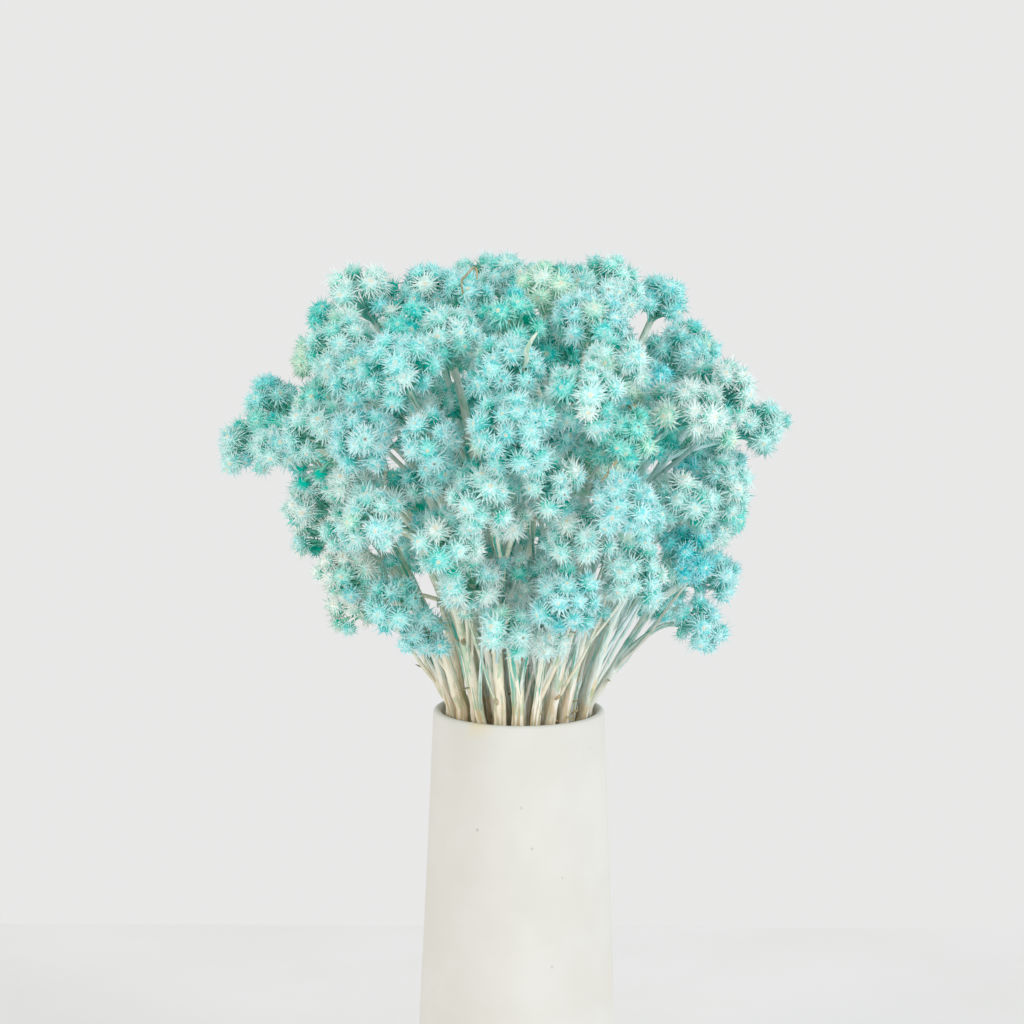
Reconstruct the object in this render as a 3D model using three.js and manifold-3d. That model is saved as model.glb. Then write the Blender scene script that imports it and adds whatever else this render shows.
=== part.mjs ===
// Dried andean asters in a plain tapered vase.
// Millimetres, +Z up. The origin is the centre of the vase's foot, and the front faces -Y.
import * as THREE from 'three';
import { ConvexHull } from 'three/addons/math/ConvexHull.js';
import { mergeVertices } from 'three/addons/utils/BufferGeometryUtils.js';
import Module from 'manifold-3d';

const wasm = await Module();
wasm.setup();

// The vase: a straight, slightly spreading wall with a softly rounded lip.
const VASE = {
  height: 240, mouthRadius: 43, footRadius: 52.5, wall: 4, floor: 8, footEdge: 2, sides: 44,
};

// The stems: the radii of the thinnest and thickest at the foot, of their tips and of the twigs. A lead or
// trail is the share of its span over which a curve keeps its first or last direction, slack is how far a
// straight stretch may stray from the curve, and gap is the clearance under a foot.
const STEM = {
  thinnest: 2.4, thickest: 3.7, tip: 1.7, twig: 1.6, lead: 0.45, trail: 0.35,
  sides: 5, twigSides: 4, slack: 1.4, gap: 0.35,
};

// Where the stems stand in the mouth: how far out the outermost ones are, the level where they start to
// spread and how steeply, and how far in the feet are. A spray's own reach grows with the angle at which
// its tufts lean out and with how low they hang.
const MOUTH = {
  reach: 31, level: 214, spread: 0.6, footShare: 0.8, leanFrom: 200, fullLean: 40,
  leanShare: 0.35, least: 0.1,
};

// The forks: the lowest and highest as shares of the stem above the mouth, and how far below its own tuft
// a twig has to start.
const FORK = { lowest: 0.5, highest: 0.78, drop: 26, lead: 0.35 };

// The flowers: how full the tufts are, the heads on each, the cap that they cover in degrees, and how high
// their eyes, ray tips and valleys lie, as shares of the tuft's radius.
const TUFT = {
  size: 1.28, heads: 6, spread: 112, eye: 0.78, tip: 1, lowTip: 0.88, valley: 0.6, core: 0.45,
};

// The canopy: the stems turn outwards from its heart, and its crown is its highest tuft.
const CANOPY = { heart: 300, crown: 450, hem: 290 };

// How the sprays are bent clear of each other: the spacing of the points, the clearance kept round a stem
// and between any two, and the share of each correction made in one round. Stiff is the least share of the
// bending correction that is left in the last rounds.
const SETTLE = {
  rounds: 300, step: 7, bark: 1, gap: 0.7, push: 0.5, bend: 0.35, stiff: 0.2, pull: 0.03, hold: 0.12,
  give: { mouth: 1, stem: 1, tuft: 0.3 },
};

const BISQUE = { colour: 0xe8e2d6, roughness: 0.85 };
const DYED_FLOWER = { colour: 0x8fcfca, roughness: 0.9 };

const SEED = 7.31;
const THICKNESS_DRAW = 50;
const RAY_DRAW = 9;
const TUFT_DRAW = 7;
const GOLDEN_ANGLE = Math.PI * (3 - Math.sqrt(5));

// Each spray is one forked stem with its tufts. A tuft is [x, y, z, radius].
const SPRAYS = [
  { name: 'spray_crown_1', tufts: [[-73, -20, 444, 13], [-97, 3, 431, 8], [-98, 14, 412, 12]] },
  { name: 'spray_crown_2', tufts: [[-49, -24, 445, 13], [-27, -40, 441, 12]] },
  { name: 'spray_crown_3', tufts: [[-5, -14, 450, 13], [14, -22, 448, 12]] },
  { name: 'spray_crown_4', tufts: [[39, -20, 446, 15], [31, -60, 431, 14]] },
  { name: 'spray_crown_5', tufts: [[67, 0, 441, 11], [77, 3, 413, 13]] },
  { name: 'spray_crown_6', tufts: [[22, 22, 446, 13], [-22, 24, 446, 13]] },
  { name: 'spray_shoulder_1', tufts: [[-80, -46, 418, 13], [-75, -74, 406, 12], [-93, -42, 400, 11]] },
  { name: 'spray_shoulder_2', tufts: [[-34, -80, 425, 14], [-55, -52, 428, 12]] },
  { name: 'spray_shoulder_3', tufts: [[-53, -96, 412, 14], [-42, -76, 400, 9], [-23, -44, 394, 11]] },
  { name: 'spray_shoulder_4', tufts: [[-7, -101, 414, 14], [-8, -64, 435, 12]] },
  { name: 'spray_shoulder_5', tufts: [[29, -104, 404, 13], [42, -86, 416, 12], [16, -50, 421, 11]] },
  { name: 'spray_shoulder_6', tufts: [[71, -76, 395, 14], [47, -78, 399, 10], [61, -46, 405, 9]] },
  { name: 'spray_right_1', tufts: [[97, -14, 399, 13], [113, 0, 381, 13], [90, -46, 383, 10]] },
  { name: 'spray_right_2', tufts: [[95, -30, 353, 13], [98, 16, 362, 11], [83, -4, 356, 10]] },
  { name: 'spray_right_3', tufts: [[78, -42, 323, 13], [74, -66, 350, 12], [90, -16, 332, 10]] },
  { name: 'spray_right_4', tufts: [[93, -8, 305, 12], [88, -12, 289, 11]] },
  { name: 'spray_left_1', tufts: [[-124, 10, 389, 12], [-134, -4, 371, 12], [-111, -43, 373, 12]] },
  { name: 'spray_left_2', tufts: [[-92, -72, 385, 13], [-64, -100, 376, 14]] },
  { name: 'spray_left_3', tufts: [[-100, -35, 350, 12], [-98, -12, 329, 12], [-81, -58, 338, 10]] },
  { name: 'spray_left_4', tufts: [[-81, -24, 310, 13], [-83, -24, 296, 11]] },
  { name: 'spray_front_1', tufts: [[-59, -95, 353, 13], [-76, -78, 359, 12], [-43, -100, 343, 13]] },
  { name: 'spray_front_2', tufts: [[-43, -106, 386, 12], [-40, -96, 365, 11]] },
  {
    name: 'spray_front_3',
    tufts: [[1, -110, 386, 15], [18, -92, 388, 11], [11, -112, 371, 12], [-10, -92, 370, 12]],
  },
  { name: 'spray_front_4', tufts: [[-16, -112, 360, 12], [-2, -100, 350, 9]] },
  { name: 'spray_front_5', tufts: [[39, -100, 383, 13], [32, -78, 367, 11]] },
  { name: 'spray_front_6', tufts: [[44, -100, 360, 13], [55, -76, 345, 10], [24, -98, 343, 14]] },
  { name: 'spray_hem_1', tufts: [[-58, -44, 300, 12], [-48, -36, 285, 10]] },
  { name: 'spray_hem_2', tufts: [[-19, -72, 310, 12], [-7, -68, 299, 11], [4, -58, 311, 10]] },
  { name: 'spray_hem_3', tufts: [[19, -74, 312, 13], [10, -52, 287, 10]] },
  { name: 'spray_hem_4', tufts: [[50, -68, 318, 14]] },
  { name: 'spray_heart_1', tufts: [[-58, -62, 393, 11], [-24, -42, 372, 11]] },
  { name: 'spray_heart_2', tufts: [[30, -52, 384, 12], [62, -36, 378, 11]] },
];

// The far side is filled by rule: rows of sprays on the same dome, each with its tufts side by side.
const BACK = { from: 12, to: 168, tuftRadius: 13.4, drop: 18, jitter: 5 };
const BACK_ROWS = [
  { name: 'spray_back_low', sprays: 2, tufts: 3, height: 304, reach: 76 },
  { name: 'spray_back_mid', sprays: 4, tufts: 3, height: 350, reach: 100 },
  { name: 'spray_back_high', sprays: 4, tufts: 3, height: 400, reach: 92 },
  { name: 'spray_back_top', sprays: 2, tufts: 3, height: 430, reach: 46 },
];

// A repeatable draw from 0 to 1 for a pair of numbers.
function draw(a, b) {
  const value = Math.sin(a * 12.9898 + b * 78.233 + SEED) * 43758.5453;
  return value - Math.floor(value);
}

function radians(degrees) {
  return degrees * Math.PI / 180;
}

// The rows of the far side as sprays of the same kind as the listed ones.
function backSprays() {
  const sprays = [];
  for (const row of BACK_ROWS) {
    const count = row.sprays * row.tufts;
    for (let s = 0; s < row.sprays; s++) {
      const tufts = [];
      for (let k = 0; k < row.tufts; k++) {
        const place = s * row.tufts + k;
        const azimuth = radians(BACK.from + (BACK.to - BACK.from) * (place + 0.5) / count);
        const drop = BACK.drop * ((k % 2) - 0.5);
        const level = row.height + drop + BACK.jitter * (draw(row.height, place) - 0.5);
        const reach = row.reach + BACK.jitter * (draw(place, row.height) - 0.5);
        tufts.push([reach * Math.cos(azimuth), reach * Math.sin(azimuth), level, BACK.tuftRadius]);
      }
      sprays.push({ name: `${row.name}_${s + 1}`, tufts });
    }
  }
  return sprays;
}

// Where a spray's stem stands in the mouth: the lower and wider its tufts, the nearer the lip.
function mouthPoint(tufts) {
  const middle = new THREE.Vector3();
  tufts.forEach(([x, y, z]) => middle.add(new THREE.Vector3(x, y, z).divideScalar(tufts.length)));
  const flat = Math.hypot(middle.x, middle.y);
  const lean = Math.atan2(flat, middle.z - MOUTH.leanFrom) / radians(MOUTH.fullLean);
  const low = (CANOPY.crown - middle.z) / (CANOPY.crown - CANOPY.hem);
  const share = MOUTH.leanShare * lean + (1 - MOUTH.leanShare) * low;
  const reach = MOUTH.reach * Math.min(1, Math.max(MOUTH.least, share));
  return new THREE.Vector3(middle.x / flat * reach, middle.y / flat * reach, MOUTH.level);
}

// The way a stem faces where it meets a tuft: away from the heart of the canopy.
function outwards(point) {
  return new THREE.Vector3(point.x, point.y, point.z - CANOPY.heart).normalize();
}

// A curve from a point on a stem to the middle of a tuft, which it enters from the canopy's heart.
function stemCurve(from, way, tuft, lead) {
  const end = new THREE.Vector3(tuft[0], tuft[1], tuft[2]);
  const span = from.distanceTo(end);
  const first = from.clone().addScaledVector(way, lead * span);
  const second = end.clone().addScaledVector(outwards(end), -STEM.trail * span);
  return new THREE.CubicBezierCurve3(from, first, second, end);
}

// Every spray as chains of points: the first runs from the mouth to the first tuft, and each later one
// leaves it at a fork for its own tuft. A point knows its stem's thickness and the room that it needs.
function planChains(sprays) {
  const points = [];
  const chains = [];
  const addPoint = (home, thick, kind, spray) => {
    const room = kind === 'tuft' ? thick : thick + SETTLE.bark;
    return points.push({ home, at: home.clone(), thick, room, kind, spray }) - 1;
  };
  const addChain = (first, curve, thickAt, radius, spray) => {
    const steps = Math.max(3, Math.round(curve.getLength() / SETTLE.step));
    const ids = [first];
    for (let i = 1; i < steps; i++) {
      ids.push(addPoint(curve.getPoint(i / steps), thickAt(i / steps), 'stem', spray));
    }
    ids.push(addPoint(curve.getPoint(1), radius, 'tuft', spray));
    chains.push({ spray, ids, radius, tipThick: thickAt(1) });
    return ids;
  };
  sprays.forEach(({ tufts }, spray) => {
    const base = STEM.thinnest + (STEM.thickest - STEM.thinnest) * draw(spray, THICKNESS_DRAW);
    const thickAt = (share) => base + (STEM.tip - base) * share;
    const start = mouthPoint(tufts);
    const rise = new THREE.Vector3(start.x, start.y, MOUTH.reach / MOUTH.spread).normalize();
    const mouth = addPoint(start, base, 'mouth', spray);
    const stem = stemCurve(start, rise, tufts[0], STEM.lead);
    const main = addChain(mouth, stem, thickAt, TUFT.size * tufts[0][3], spray);
    tufts.slice(1).forEach((tuft, k) => {
      const share = FORK.lowest + (FORK.highest - FORK.lowest) * draw(spray, k + 1);
      let fork = Math.round((main.length - 1) * share);
      while (fork > 1 && points[main[fork]].home.z > tuft[2] - FORK.drop) fork -= 1;
      const from = points[main[fork]].home;
      const way = from.clone().sub(points[main[fork - 1]].home).normalize();
      const twig = stemCurve(from, way, tuft, FORK.lead);
      addChain(main[fork], twig, () => STEM.twig, TUFT.size * tuft[3], spray);
    });
  });
  return { points, chains };
}

// Bends the chains until no two sprays touch, nor two tufts of one spray. Crowded points push each other
// apart, a tuft giving way less than a stem. Each chain keeps its curve, and every point is drawn back to
// its own place, less and less. Near the mouth all stay inside the lip.
function settle({ points, chains }) {
  const innerRadius = VASE.mouthRadius - VASE.wall;
  for (let round = 0; round < SETTLE.rounds; round++) {
    const moves = points.map(() => new THREE.Vector3());
    const fading = 1 - round / SETTLE.rounds;
    const bend = SETTLE.bend * (SETTLE.stiff + (1 - SETTLE.stiff) * fading);
    for (let i = 0; i < points.length; i++) {
      for (let j = i + 1; j < points.length; j++) {
        const a = points[i];
        const b = points[j];
        const reach = a.room + b.room + SETTLE.gap;
        const joined = a.spray === b.spray && (a.kind !== 'tuft' || b.kind !== 'tuft');
        if (joined || Math.abs(a.at.z - b.at.z) >= reach) continue;
        const distance = a.at.distanceTo(b.at);
        if (distance >= reach) continue;
        const give = SETTLE.give[a.kind] / (SETTLE.give[a.kind] + SETTLE.give[b.kind]);
        const apart = a.at.clone().sub(b.at).multiplyScalar(SETTLE.push * (reach - distance) / distance);
        moves[i].addScaledVector(apart, give);
        moves[j].addScaledVector(apart, give - 1);
      }
    }
    for (const { ids } of chains) {
      for (let k = 1; k < ids.length - 1; k++) {
        const [before, here, after] = [points[ids[k - 1]], points[ids[k]], points[ids[k + 1]]];
        const middle = before.at.clone().add(after.at).sub(before.home).sub(after.home).multiplyScalar(0.5);
        moves[ids[k]].addScaledVector(middle.sub(here.at).add(here.home), bend);
      }
    }
    points.forEach(({ at, home, kind, room }, i) => {
      const hold = kind === 'tuft' ? SETTLE.hold : SETTLE.pull;
      const back = home.clone().sub(at).multiply(new THREE.Vector3(hold, SETTLE.pull, hold));
      at.add(moves[i]).addScaledVector(back, fading);
      if (kind === 'mouth') at.z = MOUTH.level;
      const flat = Math.hypot(at.x, at.y);
      const free = innerRadius - room - SETTLE.gap + Math.max(0, at.z - VASE.height - room);
      if (flat > free && at.z < VASE.height + VASE.mouthRadius) {
        at.x *= free / flat;
        at.y *= free / flat;
      }
    });
  }
}

// Directions spread evenly over a cap round an axis, from the axis down to the cap's edge.
function capDirections(axis, count, edge, turn) {
  const frame = new THREE.Quaternion().setFromUnitVectors(new THREE.Vector3(0, 0, 1), axis);
  return Array.from({ length: count }, (_, i) => {
    const polar = Math.acos(1 - (i + 0.5) / count * (1 - Math.cos(radians(edge))));
    const around = turn + i * GOLDEN_ANGLE;
    const flat = Math.sin(polar);
    const direction = new THREE.Vector3(flat * Math.cos(around), flat * Math.sin(around), Math.cos(polar));
    return direction.applyQuaternion(frame);
  });
}

function hullTriangles(directions) {
  const hull = new ConvexHull().setFromPoints(directions);
  return hull.faces.map(({ edge }) => [edge.tail().point, edge.head().point, edge.next.head().point]);
}

function between(...directions) {
  return directions.reduce((sum, direction) => sum.add(direction), new THREE.Vector3()).normalize();
}

// One tuft of flower heads on the end of its stalk. Each head is an eye with pointed rays standing round
// it, and a valley lies halfway between two eyes. The stalk's last ring is the tuft's underside.
function tuftTriangles(centre, axis, radius, ring, seed) {
  const eyes = capDirections(axis, TUFT.heads, TUFT.spread, 2 * Math.PI * draw(seed, 1));
  const under = axis.clone().negate();
  const heights = new Map(eyes.map((eye) => [eye, TUFT.eye]));
  for (const corners of hullTriangles([...eyes, under])) {
    corners.forEach((from, k) => {
      const to = corners[(k + 1) % 3];
      const once = eyes.indexOf(from) < eyes.indexOf(to);
      if (from !== under && to !== under && once) heights.set(between(from, to), TUFT.valley);
    });
  }
  const toPoint = (direction) => (
    direction.clone().multiplyScalar(radius * heights.get(direction)).add(centre)
  );
  const stalk = ring.map((corner) => corner.clone().sub(centre).normalize());
  const places = new Map([...heights.keys()].map((direction) => [direction, toPoint(direction)]));
  stalk.forEach((direction, k) => places.set(direction, ring[k]));
  const triangles = [];
  hullTriangles([...places.keys()]).forEach((corners, f) => {
    if (corners.every((corner) => stalk.includes(corner))) return;
    const eye = corners.find((corner) => eyes.includes(corner));
    const [a, b, c] = corners.map((corner) => places.get(corner));
    if (!eye) {
      triangles.push([a, b, c]);
      return;
    }
    const tip = between(...corners, ...corners.filter((corner) => corner !== eye));
    heights.set(tip, TUFT.lowTip + (TUFT.tip - TUFT.lowTip) * draw(seed, f + RAY_DRAW));
    const point = toPoint(tip);
    triangles.push([a, b, point], [b, c, point], [c, a, point]);
  });
  return triangles;
}

// A closed stalk through points, with a radius at each, that ends in its tuft of flower heads.
function stalkGeometry(path, radii, sides, tuft) {
  const rings = [];
  const side = new THREE.Vector3(1, 0, 0);
  path.forEach((point, i) => {
    const before = path[Math.max(0, i - 1)];
    const after = path[Math.min(path.length - 1, i + 1)];
    const way = new THREE.Vector3().subVectors(after, before).normalize();
    side.addScaledVector(way, -side.dot(way)).normalize();
    const other = new THREE.Vector3().crossVectors(way, side);
    rings.push(Array.from({ length: sides }, (_, k) => {
      const angle = 2 * Math.PI * k / sides;
      const corner = point.clone().addScaledVector(side, radii[i] * Math.cos(angle));
      return corner.addScaledVector(other, radii[i] * Math.sin(angle));
    }));
  });
  const triangles = tuftTriangles(tuft.centre, tuft.axis, tuft.radius, rings.at(-1), tuft.seed);
  for (let i = 0; i < rings.length - 1; i++) {
    for (let k = 0; k < sides; k++) {
      const next = (k + 1) % sides;
      triangles.push([rings[i][k], rings[i][next], rings[i + 1][next]]);
      triangles.push([rings[i][k], rings[i + 1][next], rings[i + 1][k]]);
    }
  }
  for (let k = 1; k < sides - 1; k++) triangles.push([rings[0][0], rings[0][k + 1], rings[0][k]]);
  return new THREE.BufferGeometry().setFromPoints(triangles.flat());
}

function toSolid(geometry) {
  geometry.deleteAttribute('normal');
  geometry.deleteAttribute('uv');
  const merged = mergeVertices(geometry, 1e-4);
  const vertProperties = new Float32Array(merged.attributes.position.array);
  const triVerts = new Uint32Array(merged.index.array);
  return new wasm.Manifold(new wasm.Mesh({ numProp: 3, vertProperties, triVerts }));
}

function toGeometry(solid) {
  const mesh = solid.getMesh();
  const geometry = new THREE.BufferGeometry();
  geometry.setAttribute('position', new THREE.Float32BufferAttribute(mesh.vertProperties, 3));
  geometry.setIndex(Array.from(mesh.triVerts));
  geometry.computeVertexNormals();
  return geometry;
}

// The vase: one revolved outline, from the middle of the foot up the outside and down the inside.
function vaseGeometry() {
  const { height, mouthRadius, footRadius, wall, floor, footEdge, sides } = VASE;
  const slope = (footRadius - mouthRadius) / height;
  const lip = wall / 2;
  const lipCentre = new THREE.Vector2(mouthRadius - lip, height - lip);
  const outline = [new THREE.Vector2(0, 0), new THREE.Vector2(footRadius - footEdge, 0)];
  outline.push(new THREE.Vector2(footRadius - slope * footEdge, footEdge));
  for (const angle of [0, 45, 90, 135, 180]) {
    const across = lip * Math.cos(radians(angle));
    const rise = lip * Math.sin(radians(angle));
    outline.push(new THREE.Vector2(lipCentre.x + across, lipCentre.y + rise));
  }
  outline.push(new THREE.Vector2(footRadius - slope * floor - wall, floor), new THREE.Vector2(0, floor));
  return new THREE.LatheGeometry(outline, sides).rotateX(Math.PI / 2);
}

// The points of a line that keep its bends: none of those left out strays from the straight line between
// its neighbours.
function bendPoints(line) {
  const kept = [line[0]];
  let from = 0;
  for (let to = 2; to < line.length; to++) {
    const chord = new THREE.Line3(line[from].at, line[to].at);
    const strays = line.slice(from + 1, to).some(({ at }) => (
      chord.closestPointToPoint(at, true, new THREE.Vector3()).distanceTo(at) > STEM.slack
    ));
    if (!strays) continue;
    from = to - 1;
    kept.push(line[from]);
  }
  return kept.concat(line.at(-1));
}

// One spray: its main stem from the foot, its twigs from their forks, and a tuft at the end of each.
function sprayGeometry(index, { points, chains }) {
  let solid = null;
  chains.filter((chain) => chain.spray === index).forEach(({ ids, radius, tipThick }, k) => {
    const main = k === 0;
    const centre = points[ids.at(-1)].at;
    const core = TUFT.core * radius;
    const clear = ({ at }, i) => i === 0 || at.distanceTo(centre) > core + tipThick;
    const line = ids.map((id) => points[id]).filter(clear);
    const axis = centre.clone().sub(line.at(-1).at).normalize();
    line.push({ at: centre.clone().addScaledVector(axis, -core), thick: tipThick });
    if (main) {
      const foot = line[0].at.clone().multiplyScalar(MOUTH.footShare).setZ(VASE.floor + STEM.gap);
      line.unshift({ at: foot, thick: line[0].thick });
    }
    const bends = bendPoints(line);
    const radii = bends.map(({ thick }) => (main ? thick : tipThick));
    const sides = main ? STEM.sides : STEM.twigSides;
    const tuft = { centre, axis, radius, seed: index * TUFT_DRAW + k };
    const stalk = toSolid(stalkGeometry(bends.map(({ at }) => at), radii, sides, tuft));
    solid = solid ? solid.add(stalk) : stalk;
  });
  return toGeometry(solid);
}

const object = new THREE.Group();

function addPart(name, geometry, { colour, roughness }) {
  const material = new THREE.MeshStandardMaterial({ color: colour, roughness, metalness: 0 });
  const mesh = new THREE.Mesh(geometry, material);
  mesh.name = name;
  object.add(mesh);
}

const sprays = [...SPRAYS, ...backSprays()];
const plan = planChains(sprays);
settle(plan);

addPart('vase', toGeometry(toSolid(vaseGeometry())), BISQUE);
sprays.forEach((spray, index) => addPart(spray.name, sprayGeometry(index, plan), DYED_FLOWER));

export default object;
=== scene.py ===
import math

import bpy
import numpy as np
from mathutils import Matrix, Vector


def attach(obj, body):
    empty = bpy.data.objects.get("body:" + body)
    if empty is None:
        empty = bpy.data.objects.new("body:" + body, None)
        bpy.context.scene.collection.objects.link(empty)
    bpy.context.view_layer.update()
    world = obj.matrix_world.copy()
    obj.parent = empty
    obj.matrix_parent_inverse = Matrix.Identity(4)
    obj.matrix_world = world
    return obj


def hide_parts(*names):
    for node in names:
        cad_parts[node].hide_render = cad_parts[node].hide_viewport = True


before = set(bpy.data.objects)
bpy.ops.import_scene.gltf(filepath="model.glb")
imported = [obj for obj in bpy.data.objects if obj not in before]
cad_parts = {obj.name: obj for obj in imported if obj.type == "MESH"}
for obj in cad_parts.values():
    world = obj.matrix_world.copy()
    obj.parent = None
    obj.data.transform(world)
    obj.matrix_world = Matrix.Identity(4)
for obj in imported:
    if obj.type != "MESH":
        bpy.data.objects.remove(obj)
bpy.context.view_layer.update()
scene = bpy.context.scene
mm = 0.001
seed = 7.31
drawSteps = (12.9898, 78.233)
drawScale = 43758.5453
goldenAngle = math.pi * (3 - math.sqrt(5))
upright = np.array([0, 0, 1])
print("frame loaded with", len(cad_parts), "solids")


# Small tools that every piece uses.

def draw(a, b):
    # a repeatable draw from 0 to 1 for a pair of numbers: what is left of a large sine after its whole part;
    # the plain numbers that later lines add to a tag only keep the draws of one piece apart
    value = np.sin(np.asarray(a) * drawSteps[0] + np.asarray(b) * drawSteps[1] + seed) * drawScale
    return value - np.floor(value)


def spread(a, b):
    # the same draw, from -1 to 1
    return 2 * draw(a, b) - 1


def between(limits, a, b):
    # the same draw, between two limits
    return limits[0] + (limits[1] - limits[0]) * draw(a, b)


def length(vectors):
    # the lengths of vectors, kept as a column
    return np.linalg.norm(vectors, axis=-1, keepdims=True)


def unit(vectors):
    return vectors / np.maximum(length(vectors), 1e-12)


def smoothStep(value, low, high):
    # 0 below low, 1 above high, and an even S between them
    share = np.clip((value - low) / (high - low), 0, 1)
    return share * share * (3 - 2 * share)


def fullTurn(sides):
    # even angles once round
    return np.linspace(0, 2 * math.pi, sides, endpoint=False)


def turnedWays(side, other, turn):
    # directions round a circle, one for each angle: side times its cosine and other times its sine
    return side[..., None, :] * np.cos(turn)[..., None] + other[..., None, :] * np.sin(turn)[..., None]


def distances(line):
    # how far along a line each of its points lies
    return np.concatenate([[0], np.cumsum(length(np.diff(line, axis=0))[:, 0])])


def pointsAt(at, places, line):
    # the points of a line at some distances along it
    return np.stack([np.interp(at, places, line[:, axis]) for axis in range(3)], axis=-1)


def arc(start, corner, end, t):
    # a curve that leaves start towards corner and comes to end from there: their shares are the square of
    # what is left, twice what is left times what is run, and the square of what is run
    return (1 - t) ** 2 * start + 2 * t * (1 - t) * corner + t ** 2 * end


def screenColour(text):
    # a colour as it reads on a screen, turned into amounts of light
    value = np.array([int(text[i:i + 2], 16) for i in (0, 2, 4)]) / 255
    light = np.where(value <= 0.04045, value / 12.92, ((value + 0.055) / 1.055) ** 2.4)
    return (*light.tolist(), 1.0)


def gridTriangles(rows, columns):
    # two triangles for each cell of a grid that closes on itself across its columns, and each corner's place
    row, column = np.meshgrid(np.arange(rows - 1), np.arange(columns), indexing="ij")
    corners = np.array([(0, 0), (0, 1), (1, 1), (0, 0), (1, 1), (1, 0)])
    rowAt = row.ravel()[:, None] + corners[:, 0]
    columnAt = column.ravel()[:, None] + corners[:, 1]
    ids = rowAt * columns + columnAt % columns
    places = np.stack([columnAt / columns, rowAt], axis=-1)
    return ids.reshape(-1, 3), places.reshape(-1, 3, 2)


def closedTriangles(rows, sides):
    # the same for a tube, with a fan at each end to one of the two points that follow the rings
    triangles, places = gridTriangles(rows, sides)
    ring = np.arange(sides)
    after = (ring + 1) % sides
    last, count = (rows - 1) * sides, rows * sides
    foot = np.stack([after, ring, np.full(sides, count)], axis=1)
    top = np.stack([last + ring, last + after, np.full(sides, count + 1)], axis=1)
    across = np.stack([(ring + 1) / sides, ring / sides, (ring + 0.5) / sides], axis=1)
    footPlaces = np.stack([across, np.zeros_like(across)], axis=-1)
    topPlaces = np.stack([across[:, [1, 0, 2]], np.full_like(across, rows - 1)], axis=-1)
    return np.concatenate([triangles, foot, top]), np.concatenate([places, footPlaces, topPlaces])


def copies(points, triangles):
    # the points of several equal bodies as one list, with the triangles of them all
    starts = points.shape[1] * np.arange(len(points))[:, None, None]
    return points.reshape(-1, 3), (triangles + starts).reshape(-1, 3)


def closeTubes(rings, places):
    # equal tubes with a point over each end, as one list: points, triangles and uv (turns, metres)
    count, rows, sides = rings.shape[:3]
    triangles, uv = closedTriangles(rows, sides)
    uv[..., 1] = np.interp(uv[..., 1], np.arange(rows), places) * mm
    points = np.concatenate([rings.reshape(count, -1, 3), rings[:, [0, -1]].mean(axis=2)], axis=1)
    return *copies(points, triangles), np.tile(uv, (count, 1, 1))


def addObject(name, data):
    # a mesh, a camera or a lamp, put into the scene
    made = bpy.data.objects.new(name, data)
    scene.collection.objects.link(made)
    return made


def makePiece(name, materials, points, triangles, uv=None, kinds=None, flat=None, **values):
    # a mesh from whole arrays: points in millimetres, triangles as rows of three point numbers
    mesh = bpy.data.meshes.new(name)
    mesh.vertices.add(len(points))
    mesh.vertices.foreach_set("co", (points * mm).astype(np.float32).ravel())
    mesh.loops.add(triangles.size)
    mesh.loops.foreach_set("vertex_index", triangles.astype(np.int32).ravel())
    mesh.polygons.add(len(triangles))
    mesh.polygons.foreach_set("loop_start", np.arange(0, triangles.size, 3, dtype=np.int32))
    for material in materials:
        mesh.materials.append(material)
    if kinds is not None:
        mesh.polygons.foreach_set("material_index", kinds.astype(np.int32))
    mesh.update(calc_edges=True)
    if uv is not None:
        mesh.uv_layers.new(name="surface").data.foreach_set("uv", uv.astype(np.float32).ravel())
    for key, value in values.items():
        form, field = ("FLOAT", "value") if value.ndim == 1 else ("FLOAT_COLOR", "color")
        mesh.attributes.new(key, form, "POINT").data.foreach_set(field, value.astype(np.float32).ravel())
    mesh.shade_smooth()
    if flat is not None:
        mesh.polygons.foreach_set("use_smooth", ~flat)
    return addObject(name, mesh)


def settleIn(piece, node):
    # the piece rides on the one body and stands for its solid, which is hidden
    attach(piece, "root")
    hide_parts(node)


# Camera: where the photograph was taken from, by the vase's mouth and the table's far edge.

camera = {
    "place": (-4.8, -1176.9, 493.8), "pitch": 7.5, "roll": -0.3,
    "focalPixels": 2400, "framePixels": 1024, "sensor": 36, "clip": (0.01, 50),
}


def addCamera():
    data = bpy.data.cameras.new("camera")
    data.sensor_width = camera["sensor"]
    data.lens = camera["sensor"] * camera["focalPixels"] / camera["framePixels"]
    data.clip_start, data.clip_end = camera["clip"]
    scene.camera = addObject("camera", data)
    scene.camera.location = [value * mm for value in camera["place"]]
    turn = (math.radians(90 - camera["pitch"]), math.radians(camera["roll"]), 0)
    scene.camera.rotation_euler = turn


addCamera()
print("camera placed")


# Node tools for the materials. A surface in the settings is the bump's strength and its distance in metres,
# the roughness and, where it isn't the usual one, the specular level.

def newMaterial(name):
    # an empty material, its node tree and the place on the object
    material = bpy.data.materials.new(name)
    material.use_nodes = True
    material.node_tree.nodes.clear()
    return material, material.node_tree, addNode(material.node_tree, "TexCoord")["Object"]


def addNode(tree, kind, inputs=None, **settings):
    # the outputs of a new node with its settings, its inputs either joined to a socket or given a value
    node = tree.nodes.new("ShaderNode" + kind)
    for key, value in settings.items():
        setattr(node, key, value)
    for key, value in (inputs or {}).items():
        if isinstance(value, bpy.types.NodeSocket):
            tree.links.new(value, node.inputs[key])
        else:
            node.inputs[key].default_value = value
    return node.outputs


def calculate(tree, operation, *values):
    # a sum of sockets and numbers
    return addNode(tree, "Math", dict(enumerate(values)), operation=operation)[0]


def multiply(tree, first, second):
    return calculate(tree, "MULTIPLY", first, second)


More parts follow.
